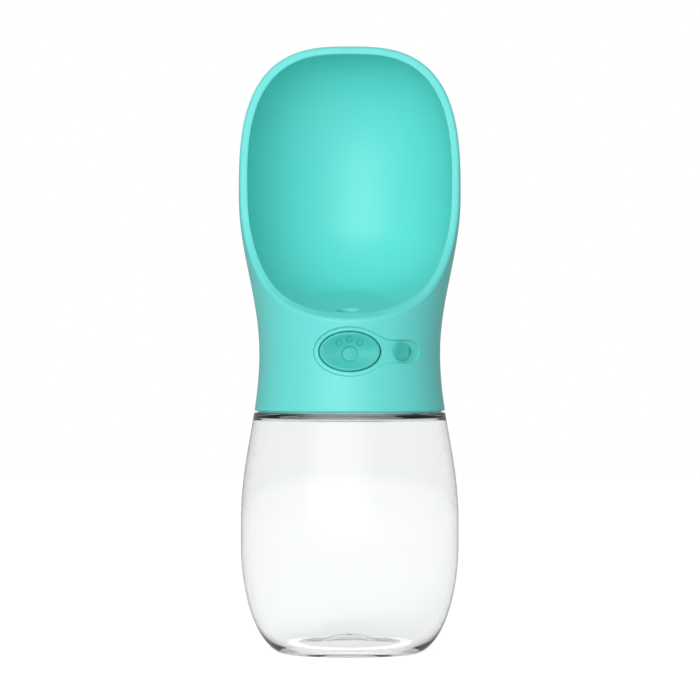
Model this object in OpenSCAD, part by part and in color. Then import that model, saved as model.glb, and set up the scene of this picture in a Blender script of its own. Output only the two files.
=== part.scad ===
// Travel water bottle for dogs: a clear bottle with a screw-on scoop head.
// Pressing the oval button opens a spring-loaded poppet valve, and water runs into the scoop.
// The origin is at the centre of the foot, +Z is up and the front, with the button, faces -Y.

/* [Outline] */
// Overall height
total_h = 210; // [190:1:230]
// Width of the bottle's belly
belly_w = 75.4; // [73:0.1:80]
// Width of the waist below the scoop
waist_w = 62.6; // [62:0.1:66]
// Greatest width of the scoop
scoop_w = 76.8; // [72:0.1:84]
// Width of the flat foot
foot_w = 44; // [40:0.5:50]
// Height of the belly's widest ring
belly_z = 46; // [42:0.5:50]
// Height of the waist's narrowest ring
waist_z = 103.5; // [102:0.5:105]
// Height of the scoop's widest ring
scoop_z = 158; // [152:0.5:164]
// Fullness of the scoop's rounded crown
crown_power = 2.9; // [2.4:0.1:3.4]

/* [Bottle] */
// Height of the bottle's shoulder
shoulder_z = 83.2; // [82:0.1:84]
// Wall of the bottle
bottle_wall = 1.8; // [1.5:0.1:2.2]
// Outer diameter of the neck, without its thread
neck_d = 48; // [46:0.5:48]
// Wall of the neck
neck_wall = 2; // [1.6:0.1:2.4]
// Height of the neck above the shoulder
neck_h = 7.5; // [7:0.1:7.8]
// Height of the dome pushed up into the base
punt_h = 4.4; // [3:0.1:6]
// Radius of the dome pushed up into the base
punt_r = 15; // [12:0.5:17]

/* [Head] */
// Gap between the bottle's shoulder and the head's skirt
seam_gap = 0.6; // [0.4:0.1:1]
// Wall of the head
head_wall = 2.5; // [2.2:0.1:2.8]
// Thickness of the scoop's wall at its rim
rim_wall = 2.8; // [2.4:0.1:3.2]
// Radius of the scoop's cut, seen from the side
rim_cut_r = 49; // [44:0.5:56]
// Lean of the straight upper part of the cut
rim_lean = 6.6; // [5:0.1:8]
// Height of the scoop's lip above the button's centre
lip_rise = 10.9; // [10.6:0.1:11.2]
// Slope of the trough's floor
floor_slope = 10; // [8:0.5:12]
// Radius between the trough's floor and its walls
floor_fillet = 20; // [17:0.5:22]

/* [Collar] */
// Clearance between the neck and the collar's bore, which the thread fills
thread_room = 1.4; // [1.2:0.1:1.6]
// Wall of the collar
collar_wall = 2; // [1.6:0.1:2.4]
// Thickness of the bulkhead across the collar
bulkhead_t = 2; // [1.6:0.1:2.2]
// Thickness of the neck's seal
neck_seal_t = 1.6; // [1.2:0.1:1.8]
// Length of the head's travel off the thread
unscrew_lift = 12; // [11:0.5:14]

/* [Button and lock] */
// Height of the button's centre
button_z = 104.3; // [104:0.1:105]
// Width of the button's hole
button_w = 21.3; // [20:0.1:22]
// Height of the button's hole
button_h = 14; // [13:0.1:14]
// Clearance round the button
button_gap = 0.35; // [0.3:0.05:0.5]
// Depth of the hollow in the button's face
dish_depth = 1.6; // [1:0.1:1.8]
// Travel of the button
button_travel = 4; // [3:0.5:4]
// Depth of the recess round the button
recess_depth = 1; // [0.6:0.1:1.2]
// Width of the recess round the button
recess_w = 24.6; // [24:0.1:26]
// Height of the recess round the button
recess_h = 16.8; // [16:0.1:17.5]
// Reach of the recess to the lock's side
recess_reach = 23.6; // [23:0.1:24.5]
// Height of the recess round the lock
recess_tail_h = 7.8; // [7.4:0.1:8.2]
// Diameter of the lock's knob
knob_d = 6; // [5:0.1:6.4]
// Angle from the front to the knob when locked
lock_angle = 34.2; // [34:0.1:35]
// Angle that the knob slides to unlock
lock_travel = 6.2; // [5:0.1:6.4]

/* [Valve] */
// Outer diameter of the valve's housing
valve_d = 11.6; // [11.2:0.1:11.8]
// Bore of the inlet chamber
chamber_d = 9.2; // [9:0.1:9.4]
// Diameter of the valve's stem
stem_d = 2.5; // [2:0.1:2.8]
// Diameter of the opening in the seat
seat_d = 5; // [4.6:0.1:5.4]
// Diameter of the poppet's seal
poppet_d = 7.6; // [7:0.1:7.8]
// Wire of the return spring
wire_d = 0.6; // [0.4:0.05:0.7]
// Turns of the return spring
spring_turns = 6; // [5:1:8]
// Bore of the outlet duct
duct_bore = 3.2; // [2.6:0.1:3.4]
// Diameter of the outlet hole in the trough's floor
outlet_d = 8.5; // [8:0.1:9]

/* [Hidden] */
$fn = 96;

teal = [0.42, 0.85, 0.81];
teal_dark = [0.33, 0.76, 0.72];
clear = [0.93, 0.95, 0.96, 0.5];
white = [0.93, 0.94, 0.94];
silicone = [0.85, 0.88, 0.88];
steel = [0.72, 0.73, 0.75];

fit = 0.3;                     // running clearance between pieces that move
snug = 0.05;                   // clearance of pieces that sit in each other
belly_r = belly_w / 2;
waist_r = waist_w / 2;
scoop_r = scoop_w / 2;
foot_r = foot_w / 2;
belly_band = 8;                // height of the belly's straight band
corner_z = belly_z - belly_band;
past = 60;                     // how far cutting shapes reach past the part
crown_h = total_h - scoop_z;
skirt_z = shoulder_z + seam_gap;

neck_r = neck_d / 2;
neck_top = shoulder_z + neck_h;
collar_bore_r = neck_r + thread_room;
collar_r = collar_bore_r + collar_wall;
bulkhead_z = neck_top + neck_seal_t;
bulkhead_top = bulkhead_z + bulkhead_t;
bulkhead_r = body_r(bulkhead_top) - head_wall - 0.2;
ledge_h = 1.5;

// The wall in front of the button and lock is nearly a cylinder of the waist's radius.
wall_r = waist_r - head_wall;
wall_band = 12;                // half the height of the wall round the button
flange_r = wall_r - fit;
flange_t = 1.2;
flange_back = flange_r - flange_t;
flange_side = 1;
flange_top = 0.2;
face_proud = 0.4;              // how far the button's middle stands out of its recess
face_front = waist_r - recess_depth + face_proud;
face_r = 60;                   // the face is flatter than the wall
dish_edge = 0.75;              // band left round the hollow
dish_r = 53;
dish_up_r = 11;
boss_r = 3.2;
boss_l = 5.3;
boss_end = -flange_back + boss_l;

// Stations along the valve, from the button to the back
press_room = 0.6;              // what is left between button and valve at full travel
valve_front = boss_end + button_travel + press_room;
gland_t = 1.8;
oring_t = 1.6;
gland_r = 3.2;
oring_back = valve_front + gland_t + oring_t;
seat_wall = 1.2;               // wall behind the stem's seal
outlet_room = 4.8;             // length of the outlet chamber
seat_t = 1.5;
outlet_front = oring_back + seat_wall;
outlet_back = outlet_front + outlet_room;
seat_back = outlet_back + seat_t;
poppet_t = 1.5;
retainer_t = 1.8;
spring_front = seat_back + poppet_t + retainer_t;
spring_room = 12.2;
cap_front = spring_front + spring_room;
cap_plug_l = 2.5;
valve_back = cap_front + cap_plug_l;
valve_r = valve_d / 2;
chamber_r = chamber_d / 2;
stem_r = stem_d / 2;
guide_bore_r = stem_r + 0.35;
guide_wall = 0.9;
guide_r = guide_bore_r + guide_wall;
guide_l = 7;
boss_floor = 1.3;              // what is left of the button in front of the stem
stem_tail = 7.2;               // length of the stem inside the spring
stem_front = boss_end - boss_l + boss_floor;
stem_back = spring_front + stem_tail;
outlet_bore_r = 3.2;
riser_y = (outlet_front + outlet_back) / 2;
inlet_reach = 4.7;             // from the spring's front to the inlet
inlet_y = spring_front + inlet_reach;
inlet_bore_r = 2.2;
inlet_pad_r = 4.3;
inlet_seal_t = 1;
inlet_pad_z = bulkhead_top + inlet_seal_t;
ear_reach = 9.4;               // from the riser to the screws
ear_y = riser_y + ear_reach;
ear_x = 10.5;
ear_t = 2.5;
ear_drop = 1.5;                // how far below the valve's axis the ears start
ear_z = button_z - ear_drop;
screw_r = 1.15;
screw_l = 8.7;
screw_head_r = 2.2;
screw_head_h = 1.7;
screw_taper = 0.7;

// The scoop's cut is an arc from the lip that runs on into a straight line to the crown's top.
lip_bulge = 0.7;               // how far the lip stands in front of the waist
lip_front = [-waist_r - lip_bulge, button_z + lip_rise];
lean_up = [sin(rim_lean), cos(rim_lean)];
lean_out = [-cos(rim_lean), sin(rim_lean)];
lip_down = -(lip_front - [0, total_h]) * lean_up;
lip_out = (lip_front - [0, total_h]) * lean_out;
lean_end = [0, total_h] - (lip_down - sqrt(2 * lip_out * rim_cut_r - pow(lip_out, 2))) * lean_up;
rim_cut = lean_end + rim_cut_r * lean_out;

// The trough's floor is a tilted plane that meets the rim's inner edge at the front.
lip_slant = 1.1;               // how much further back the rim's inner edge lies than its wall alone
lip_y = -(body_r(lip_front[1]) - rim_wall - lip_slant);
lip_z = rim_cut[1] - sqrt(pow(rim_cut_r, 2) - pow(lip_y - rim_cut[0], 2));
floor_z = lip_z - lip_y * tan(floor_slope);
cup_slope = 70;
cup_reach = 4;                 // how far the full fillet would pass the wall
cup_flat = body_r(lip_z + 4) - rim_wall + cup_reach - floor_fillet;
cup_h = 90;

outlet_y = lip_y + 0.6 + outlet_d / 2;
duct_r = duct_bore / 2 + 0.8;
duct_z = button_z + valve_r + 0.5 + duct_r;
duct_front = outlet_y + 0.4;
cup_r = outlet_d / 2 + 1.35;
gasket_t = 1;
cup_depth = 2.1;

knob_r = knob_d / 2;
knob_base = waist_r - recess_depth + fit;
knob_top = waist_r + 0.7;
slot_h = 3;
plate_r = wall_r - fit;
plate_t = 1.2;
plate_h = 7.8;
plate_angle = 8;

// Radius of the outline at height z
function ease(a, b, t) = (a + b) / 2 + (a - b) / 2 * cos(180 * t);
function crown_r(a, b, h) = h >= b ? 0 : a * pow(1 - pow(h / b, crown_power), 1 / crown_power);
function body_r(z) =
    z < corner_z ? foot_r + (belly_r - foot_r) * sqrt(1 - pow((corner_z - z) / corner_z, 2)) :
    z < belly_z ? belly_r :
    z < waist_z ? ease(belly_r, waist_r, (z - belly_z) / (waist_z - belly_z)) :
    z < scoop_z ? ease(scoop_r, waist_r, (scoop_z - z) / (scoop_z - waist_z)) :
    crown_r(scoop_r, crown_h, z - scoop_z);

// Heights between a and b, in n equal steps
function steps(a, b, n) = [for (i = [0:n]) a + (b - a) * i / n];

// Outline points between two heights, moved in by t
function outline(z0, z1, n, t = 0) = [for (z = steps(z0, z1, n)) [body_r(z) - t, z]];

// Outline points of the crown, moved in by t, up to the axis
function crown(t = 0, n = 20) = [
    for (i = [0:n])
        let (u = 90 * i / n)
        i == n ? [0, total_h - t] :
        [(scoop_r - t) * pow(cos(u), 2 / crown_power), scoop_z + (crown_h - t) * pow(sin(u), 2 / crown_power)]
];

// Everything inside the outline moved in by t, from height z0 up to the crown
module inside_head(t = 0, z0 = skirt_z) {
    rotate_extrude()
        polygon(concat([[0, z0]], outline(z0, scoop_z - 1, 28, t), crown(t)));
}

// Everything inside the outline moved in by t, between two heights below the scoop
module inside_band(t, z0, z1, n = 16) {
    rotate_extrude()
        polygon(concat([[0, z0]], outline(z0, z1, n, t), [[0, z1]]));
}

// A flat ring with its axis along Z
module ring(r0, r1, h) {
    rotate_extrude()
        translate([r0, 0])
            square([r1 - r0, h]);
}

// Turns a shape built along Z so that it lies along Y, starting at y
module along_y(y = 0, z = button_z, x = 0) {
    translate([x, y, z])
        rotate([-90, 0, 0])
            children();
}

// A cylinder along Y from y0 to y1
module rod_y(r, y0, y1, z = button_z, x = 0) {
    along_y(y0, z, x)
        cylinder(r = r, h = y1 - y0);
}

// A ring along Y from y0 to y1
module ring_y(r0, r1, y0, y1, z = button_z) {
    along_y(y0, z)
        ring(r0, r1, y1 - y0);
}

// The trough floor's own frame: origin on the floor above the axis, Z square to the floor
module on_floor() {
    translate([0, 0, floor_z])
        rotate([floor_slope, 0, 0])
            children();
}

// Oval outline of half sizes a and b
module oval(a, b, n = 56) {
    polygon([for (i = [0:n - 1]) [a * cos(360 * i / n), b * sin(360 * i / n)]]);
}

// Extrudes an outline drawn as seen from the front back through the wall
module through_front(y0 = -past, y1 = -flange_back / 3) {
    translate([0, y1, button_z])
        rotate([90, 0, 0])
            linear_extrude(height = y1 - y0)
                children();
}

// Dome of the base from its centre out, raised by t, its edge by a little more
function punt(t, edge) = [
    for (i = [0:8]) [punt_r * i / 8, t + punt_h * (1 + cos(180 * i / 8)) / 2 + edge * i / 8]
];

// Half of the bottle's section
module bottle_section() {
    t = bottle_wall;
    floor_in = t + 0.8;
    outer = concat(
        punt(0, 0.5), [[foot_r - 4, 0]],
        [for (a = steps(0, 90, 14)) [foot_r + (belly_r - foot_r) * sin(a), corner_z * (1 - cos(a))]],
        outline(belly_z, shoulder_z, 13));
    inner = concat(
        outline(shoulder_z - t, belly_z, 13, t),
        [for (a = steps(90, 0, 12))
            [foot_r + (belly_r - t - foot_r) * sin(a), floor_in + (corner_z - floor_in) * (1 - cos(a))]],
        [for (p = [len(punt(t, 0.8)) - 1:-1:0]) punt(t, 0.8)[p]]);
    polygon(concat(outer,
        [[neck_r, shoulder_z], [neck_r, neck_top - 0.6], [neck_r - 0.4, neck_top]],
        [[neck_r - neck_wall, neck_top], [neck_r - neck_wall, shoulder_z - t]],
        inner));
}

module bottle() {
    color(clear)
        rotate_extrude()
            bottle_section();
}

module neck_seal() {
    color(silicone)
        translate([0, 0, neck_top])
            ring(neck_r - neck_wall, collar_bore_r - snug * 4, neck_seal_t);
}

// Threaded ring and bulkhead that close the head from below
module neck_collar() {
    lead_in = 0.8;
    color(white)
        difference() {
            union() {
                rotate_extrude()
                    polygon([
                        [0, bulkhead_z], [collar_bore_r, bulkhead_z],
                        [collar_bore_r, skirt_z + 0.7 + lead_in], [collar_bore_r + lead_in, skirt_z + 0.7],
                        [collar_r, skirt_z + 0.7], [collar_r, bulkhead_z],
                        [bulkhead_r, bulkhead_z], [bulkhead_r, bulkhead_top], [0, bulkhead_top]
                    ]);
                translate([0, inlet_y, bulkhead_top])
                    ring(inlet_pad_r + 0.2, inlet_pad_r + 1.2, 0.7);
            }
            translate([0, inlet_y, bulkhead_z - 1])
                cylinder(r = inlet_bore_r + 0.2, h = bulkhead_t + 2);
            at_air_valve() {
                translate([0, 0, bulkhead_z - 1])
                    cylinder(r = air_stem_r + 0.2, h = bulkhead_t + 2, $fn = 32);
                for (a = [0:90:270])
                    rotate([0, 0, a + 45])
                        translate([2.7, 0, bulkhead_z - 1])
                            cylinder(r = 0.6, h = bulkhead_t + 2, $fn = 24);
            }
        }
}

air_stem_r = 1.2;

module at_air_valve() {
    translate([-14, 9, 0])
        children();
}

// Umbrella valve that lets air back into the bottle
module air_valve() {
    color(silicone)
        at_air_valve()
            rotate_extrude($fn = 48)
                polygon([
                    [0, bulkhead_z - 1.2], [2.2, bulkhead_z - 1], [4, bulkhead_z - 0.4], [4, bulkhead_z],
                    [air_stem_r, bulkhead_z], [air_stem_r, bulkhead_top + 0.05],
                    [1.8, bulkhead_top + 0.25], [1.3, bulkhead_top + 1.6], [0, bulkhead_top + 2]
                ]);
}

// Side profile of everything in front of the scoop's cut
module front_profile() {
    arc = [for (a = steps(-102, -rim_lean, 36)) rim_cut + rim_cut_r * [cos(a), sin(a)]];
    polygon(concat(arc, [
        [past * tan(rim_lean), total_h + past], [rim_cut[0] - past, total_h + past],
        [rim_cut[0] - past, arc[0][1]]
    ]));
}

module scoop_front() {
    translate([-past, 0, 0])
        rotate([90, 0, 90])
            linear_extrude(height = 2 * past)
                front_profile();
}

// Half section of the trough's cup in the floor's frame, grown by t
function cup_section(t) = concat(
    [[0, -t]],
    [for (i = [0:9]) let (a = cup_slope * i / 9)
        [cup_flat + (floor_fillet + t) * sin(a), floor_fillet - (floor_fillet + t) * cos(a)]],
    [[cup_flat + (floor_fillet + t) * sin(cup_slope) + cup_h / tan(cup_slope), cup_h + floor_fillet],
     [0, cup_h + floor_fillet]]
);

// The cup: round behind the axis and straight towards the front
module cup(t = 0) {
    half = cup_section(t);
    whole = concat([for (p = half) p], [for (i = [len(half) - 2:-1:1]) [-half[i][0], half[i][1]]]);
    on_floor() {
        rotate_extrude(angle = 180)
            polygon(half);
        rotate([90, 0, 0])
            linear_extrude(height = past)
                polygon(whole);
    }
}

module keyhole() {
    a = recess_w / 2;
    b = recess_h / 2;
    r = recess_tail_h / 2;
    oval(a, b);
    translate([recess_reach - r, 0])
        circle(r = r, $fn = 48);
    translate([0, -r])
        square([recess_reach - r, 2 * r]);
    for (s = [-1, 1])
        polygon([[a - 3.4, 0], [a - 3.4, s * (r + 1.6)], [a - 1.6, s * (r + 0.6)], [a + 0.6, s * r], [a + 0.6, 0]]);
}

// Places a shape on the lock's radial axis, its Z pointing outwards
module at_lock(angle = lock_angle) {
    translate([0, 0, button_z])
        rotate([0, 0, angle - 90])
            rotate([0, 90, 0])
                children();
}

// Slot that the lock's pin slides in, square to the wall at the middle of the travel
module lock_slot() {
    reach = waist_r * sin(lock_travel / 2);
    at_lock(lock_angle + lock_travel / 2)
        translate([0, 0, wall_r - head_wall])
            linear_extrude(height = 3 * head_wall) {
                square([slot_h, 2 * reach], center = true);
                for (s = [-1, 1])
                    translate([0, s * reach])
                        circle(r = slot_h / 2, $fn = 32);
            }
}

module head_shell() {
    color(teal)
        difference() {
            union() {
                difference() {
                    inside_head();
                    scoop_front();
                    intersection() {
                        inside_head(rim_wall);
                        cup();
                    }
                    difference() {
                        inside_band(head_wall, skirt_z - 1, floor_z + 22, 24);
                        cup(head_wall);
                    }
                }
                // Ledge that the bulkhead seats against
                translate([0, 0, bulkhead_top])
                    ring(bulkhead_r - 1.7, body_r(bulkhead_top + ledge_h) - head_wall / 2, ledge_h);
                // Bosses for the valve's screws, hanging from the trough's floor
                for (s = [-1, 1])
                    translate([s * ear_x, ear_y, ear_z + ear_t])
                        cylinder(r = 3, h = floor_z - ear_z - ear_t - 1, $fn = 48);
            }
            for (s = [-1, 1])
                translate([s * ear_x, ear_y, ear_z + ear_t - 1])
                    cylinder(r = screw_r + snug, h = screw_l + 0.3, $fn = 32);
            // Keyhole recess, its floor following the wall
            difference() {
                through_front()
                    keyhole();
                inside_band(recess_depth, button_z - wall_band, button_z + wall_band, 8);
            }
            through_front()
                oval(button_w / 2, button_h / 2);
            lock_slot();
            on_floor()
                translate([0, outlet_y / cos(floor_slope), -head_wall - 2])
                    cylinder(r = outlet_d / 2, h = head_wall + 4, $fn = 64);
        }
}

module inlet_seal() {
    color(silicone)
        translate([0, inlet_y, bulkhead_top])
            ring(inlet_bore_r + 0.2, inlet_pad_r - 0.1, inlet_pad_z - bulkhead_top);
}

// Housing of the poppet valve, with ears for its two screws
module valve_body() {
    color(white)
        difference() {
            union() {
                rod_y(valve_r, valve_front, valve_back);
                translate([0, inlet_y, inlet_pad_z])
                    cylinder(r = inlet_pad_r, h = button_z - chamber_r - inlet_pad_z + 0.5, $fn = 64);
                translate([-ear_x - 3.1, ear_y - 3.2, ear_z])
                    cube([2 * ear_x + 6.2, 6.4, ear_t]);
            }
            rod_y(chamber_r, seat_back, valve_back + 1);
            rod_y(seat_d / 2, outlet_back - 0.5, seat_back + 0.5);
            rod_y(outlet_bore_r, outlet_front, outlet_back);
            rod_y(stem_r + 0.35, oring_back - 0.5, outlet_front + 0.5);
            rod_y(gland_r, valve_front - 1, oring_back);
            translate([0, inlet_y, inlet_pad_z - 1])
                cylinder(r = inlet_bore_r, h = button_z - inlet_pad_z, $fn = 48);
            translate([0, riser_y, button_z])
                cylinder(r = duct_r - 0.1 + snug, h = valve_r + 1, $fn = 48);
            for (s = [-1, 1])
                translate([s * ear_x, ear_y, ear_z - 1])
                    cylinder(r = screw_r + 0.25, h = ear_t + 2, $fn = 32);
        }
}

// Rear cap of the valve, with the tube that guides the stem's tail and centres the spring
module valve_end_cap() {
    plug_r = chamber_r - 0.1;
    color(white)
        along_y(0)
            rotate_extrude()
                polygon([
                    [0, cap_front + 1.5], [guide_bore_r, cap_front + 1.5], [guide_bore_r, cap_front - guide_l],
                    [guide_r, cap_front - guide_l], [guide_r, cap_front], [plug_r, cap_front],
                    [plug_r, cap_front + 0.7], [plug_r - 0.8, cap_front + 0.7], [plug_r - 0.8, cap_front + 1.8],
                    [plug_r, cap_front + 1.8], [plug_r, valve_back], [valve_r, valve_back],
                    [valve_r, valve_back + 1], [valve_r - 0.5, valve_back + 1.5], [0, valve_back + 1.5]
                ]);
}

module end_cap_oring() {
    mid_r = chamber_r - 0.1 - 0.35;
    color(silicone)
        along_y(cap_front + 1.25)
            rotate_extrude()
                translate([mid_r - 0.02, 0])
                    circle(r = 0.4, $fn = 24);
}

module stem_gland() {
    color(white)
        ring_y(stem_r + fit, gland_r - snug, valve_front, valve_front + gland_t);
}

module stem_oring() {
    color(silicone)
        along_y(valve_front + gland_t + oring_t / 2)
            rotate_extrude()
                translate([(stem_r + fit + gland_r - snug) / 2, 0])
                    circle(r = (gland_r - snug - stem_r - fit) / 2, $fn = 32);
}

spring_r = guide_r + 0.35 + wire_d / 2;

// Coil between the retainer and the end cap, as one swept tube
module valve_spring() {
    sides = 6;
    per_turn = 24;
    rings = spring_turns * per_turn;
    r = wire_d / 2;
    length = spring_room - wire_d - 2 * snug;
    pitch = length / spring_turns;
    slope = atan(pitch / (2 * PI * spring_r));
    points = [for (i = [0:rings], j = [0:sides - 1])
        let (a = 360 * i / per_turn, b = 360 * j / sides, u = r * cos(b), v = r * sin(b))
        [(spring_r + u) * cos(a) + v * sin(slope) * sin(a),
         (spring_r + u) * sin(a) - v * sin(slope) * cos(a),
         length * i / rings + v * cos(slope)]];
    walls = [for (i = [0:rings - 1], j = [0:sides - 1]) let (k = (j + 1) % sides)
        each [[i * sides + j, i * sides + k, (i + 1) * sides + k],
              [i * sides + j, (i + 1) * sides + k, (i + 1) * sides + j]]];
    ends = [for (j = [1:sides - 2])
        each [[0, j + 1, j], [rings * sides, rings * sides + j, rings * sides + j + 1]]];
    echo(str("valve_spring least gap between turns, mm: ", pitch * cos(slope) - wire_d));
    color(steel)
        along_y(spring_front + snug + wire_d / 2)
            polyhedron(points = points, faces = [for (f = concat(walls, ends)) [f[0], f[2], f[1]]]);
}

module poppet_retainer() {
    color(white)
        along_y(0)
            rotate_extrude()
                polygon([
                    [stem_r + snug, seat_back + poppet_t], [poppet_d / 2 + 0.1, seat_back + poppet_t],
                    [poppet_d / 2 + 0.1, spring_front], [spring_r - wire_d / 2 - 0.15, spring_front],
                    [spring_r - wire_d / 2 - 0.35, spring_front + 0.8], [stem_r + snug, spring_front + 0.8]
                ]);
}

module poppet_seal() {
    color(silicone)
        ring_y(stem_r + snug, poppet_d / 2, seat_back, seat_back + poppet_t);
}

module valve_stem() {
    color(steel)
        along_y(0)
            rotate_extrude($fn = 48)
                polygon([[0, stem_front], [stem_r, stem_front], [stem_r, stem_back - 0.5], [stem_r - 0.5, stem_back],
                    [0, stem_back]]);
}

// Elbow from the valve up to a cup under the outlet hole
module outlet_duct() {
    yc = outlet_y / cos(floor_slope);
    top = -head_wall - gasket_t;
    color(white)
        difference() {
            union() {
                translate([0, riser_y, button_z + outlet_bore_r + 0.3])
                    cylinder(r = duct_r - 0.1, h = duct_z - button_z - outlet_bore_r - 0.3, $fn = 48);
                rod_y(duct_r, duct_front, riser_y + duct_r, duct_z);
                on_floor()
                    translate([0, yc, top - cup_depth])
                        cylinder(r = cup_r, h = cup_depth, $fn = 64);
            }
            on_floor()
                translate([0, yc, top - 1.2])
                    cylinder(r = outlet_d / 2 + 0.1, h = 3, $fn = 64);
            rod_y(duct_bore / 2, duct_front + 1, riser_y + duct_bore / 2, duct_z);
            translate([0, riser_y, button_z])
                cylinder(r = duct_bore / 2 - 0.1, h = duct_z - button_z, $fn = 32);
            translate([0, duct_front + 1 + duct_bore / 2, duct_z])
                cylinder(r = duct_bore / 2 - 0.1, h = 5, $fn = 32);
        }
}

module outlet_gasket() {
    color(silicone)
        on_floor()
            translate([0, outlet_y / cos(floor_slope), -head_wall - gasket_t])
                ring(outlet_d / 2, cup_r, gasket_t);
}

module valve_screws() {
    color(steel)
        for (s = [-1, 1])
            translate([s * ear_x, ear_y, ear_z])
                rotate_extrude($fn = 48)
                    polygon([
                        [0, -0.7 * screw_head_h], [0.4 * screw_head_r, -screw_head_h],
                        [0.86 * screw_head_r, -screw_head_h], [screw_head_r, -0.76 * screw_head_h],
                        [screw_head_r, 0], [screw_r, 0], [screw_r, screw_l - screw_taper],
                        [0.2 * screw_r, screw_l], [0, screw_l]
                    ]);
}

// Oval push button, dished, with a plain paw pressed into it
module button_cap() {
    a = button_w / 2 - button_gap;
    b = button_h / 2 - button_gap;
    color(teal_dark)
        difference() {
            union() {
                difference() {
                    intersection() {
                        through_front(-past, -flange_back * 0.6)
                            oval(a, b);
                        translate([0, face_r - face_front, button_z - wall_band])
                            cylinder(r = face_r, h = 2 * wall_band);
                    }
                    translate([0, 0, button_z - wall_band])
                        cylinder(r = flange_back, h = 2 * wall_band);
                    intersection() {
                        through_front(-past, -flange_back * 0.6)
                            oval(a - dish_edge, b - dish_edge);
                        button_dish();
                    }
                    paw();
                }
                // The flange follows the wall's curve
                intersection() {
                    through_front(-past, -flange_back * 0.6)
                        oval(button_w / 2 + flange_side, button_h / 2 + flange_top);
                    translate([0, 0, button_z - wall_band])
                        ring(flange_back, flange_r, 2 * wall_band);
                }
                rod_y(boss_r, -flange_back - 0.6, boss_end);
            }
            rod_y(stem_r + snug, stem_front - 0.2, boss_end + 1);
        }
}

// The hollow is the back of a ring that stands in front of the button
module button_dish(deeper = 0) {
    translate([0, -face_front + dish_depth - dish_r, button_z])
        rotate_extrude()
            translate([dish_r - dish_up_r, 0])
                circle(r = dish_up_r + deeper);
}

module paw() {
    intersection() {
        union() {
            for (p = [[-3.55, 2.75], [0, 4.05], [3.55, 2.75]])
                rod_y(1.05, -waist_r, -flange_back - 0.6, button_z + p[1], p[0]);
            rod_y(2.6, -waist_r, -flange_back - 0.6, button_z - 0.9);
        }
        button_dish(0.3);
    }
}

module lock_knob() {
    color(teal_dark)
        at_lock()
            rotate_extrude($fn = 64)
                polygon([
                    [0, plate_r - plate_t - 1], [1.15, plate_r - plate_t - 1], [1.15, knob_base], [knob_r, knob_base],
                    [knob_r, knob_top - 0.5], [knob_r - 0.5, knob_top], [knob_r - 1.1, knob_top],
                    [knob_r - 1.4, knob_top - 0.25], [0, knob_top - 0.35]
                ]);
}

// Curved plate behind the wall that the knob carries along
module lock_plate() {
    color(white)
        difference() {
            translate([0, 0, button_z - plate_h / 2])
                rotate([0, 0, lock_angle - plate_angle - 90])
                    rotate_extrude(angle = 2 * plate_angle)
                        translate([plate_r - plate_t, 0])
                            square([plate_t, plate_h]);
            at_lock()
                translate([0, 0, plate_r - plate_t - 2])
                    cylinder(r = 1.15 + snug, h = plate_t + 4, $fn = 48);
        }
}

module lock_clip() {
    color(steel)
        at_lock()
            translate([0, 0, plate_r - plate_t - 0.7])
                ring(1.15 + snug, 2.3, 0.5);
}

bottle();
neck_seal();
neck_collar();
air_valve();
head_shell();
inlet_seal();
valve_body();
valve_end_cap();
end_cap_oring();
stem_gland();
stem_oring();
valve_spring();
poppet_retainer();
poppet_seal();
valve_stem();
outlet_duct();
outlet_gasket();
valve_screws();
button_cap();
lock_knob();
lock_plate();
lock_clip();
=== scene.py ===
"""Dog travel water bottle, dressed for rendering: a teal scoop head on a clear bottle.

Lengths in the shape code are millimetres, as in the CAD source, and become metres when a mesh is made.
"""

import math

import bmesh
import bpy
import numpy as np
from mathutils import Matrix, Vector
from mathutils.geometry import delaunay_2d_cdt


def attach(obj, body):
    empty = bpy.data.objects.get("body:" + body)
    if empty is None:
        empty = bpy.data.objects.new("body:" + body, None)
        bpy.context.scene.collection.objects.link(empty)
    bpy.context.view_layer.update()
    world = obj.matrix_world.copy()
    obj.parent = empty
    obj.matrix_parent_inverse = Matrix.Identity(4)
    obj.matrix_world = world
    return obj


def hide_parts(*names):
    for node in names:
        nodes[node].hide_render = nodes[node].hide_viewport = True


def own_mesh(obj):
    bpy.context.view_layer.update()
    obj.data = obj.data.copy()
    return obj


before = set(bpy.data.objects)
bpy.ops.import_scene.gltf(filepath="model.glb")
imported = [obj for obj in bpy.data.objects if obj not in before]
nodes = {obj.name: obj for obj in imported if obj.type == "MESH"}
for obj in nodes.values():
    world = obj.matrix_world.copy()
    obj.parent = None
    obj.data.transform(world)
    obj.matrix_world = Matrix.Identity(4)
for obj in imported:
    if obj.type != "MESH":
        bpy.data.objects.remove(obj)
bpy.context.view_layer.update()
MM = 0.001

# ---------------------------------------------------------------- sizes shared with the CAD source

TOP_Z, BELLY_R, WAIST_R, SCOOP_R, FOOT_R = 210.0, 37.7, 31.3, 38.4, 22.0
CORNER_Z, BELLY_Z, WAIST_Z, SCOOP_Z, POWER = 38.0, 46.0, 103.5, 158.0, 2.9
SHOULDER_Z, SKIRT_Z, NECK_R, NECK_TOP = 83.2, 83.8, 24.0, 90.7
WALL, RIM_WALL, BUTTON_Z = 2.5, 2.8, 104.3
RIM_R, RIM_LEAN = 49.0, math.radians(6.6)
FLOOR_TILT = math.radians(10.0)
OUTLET_D, RECESS = 8.5, 1.0
LOCK_ANGLE, LOCK_TRAVEL = math.radians(34.2), math.radians(6.2)
LEAD = 5.969
FACE_FRONT, FACE_R, DISH_DEPTH, DISH_R, DISH_UP_R = 30.7, 60.0, 1.6, 53.0, 11.0
CAP = (10.3, 6.65)              # half axes of the button's cap,
HOLE = (10.65, 7.0)             # of its hole in the wall
FLANGE = (11.65, 7.2)           # and of its flange behind the wall
SLOT_R, INLET_Y = 1.5, 1.5
BULKHEAD_Z, LEDGE_Z = 92.3, 94.3


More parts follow.
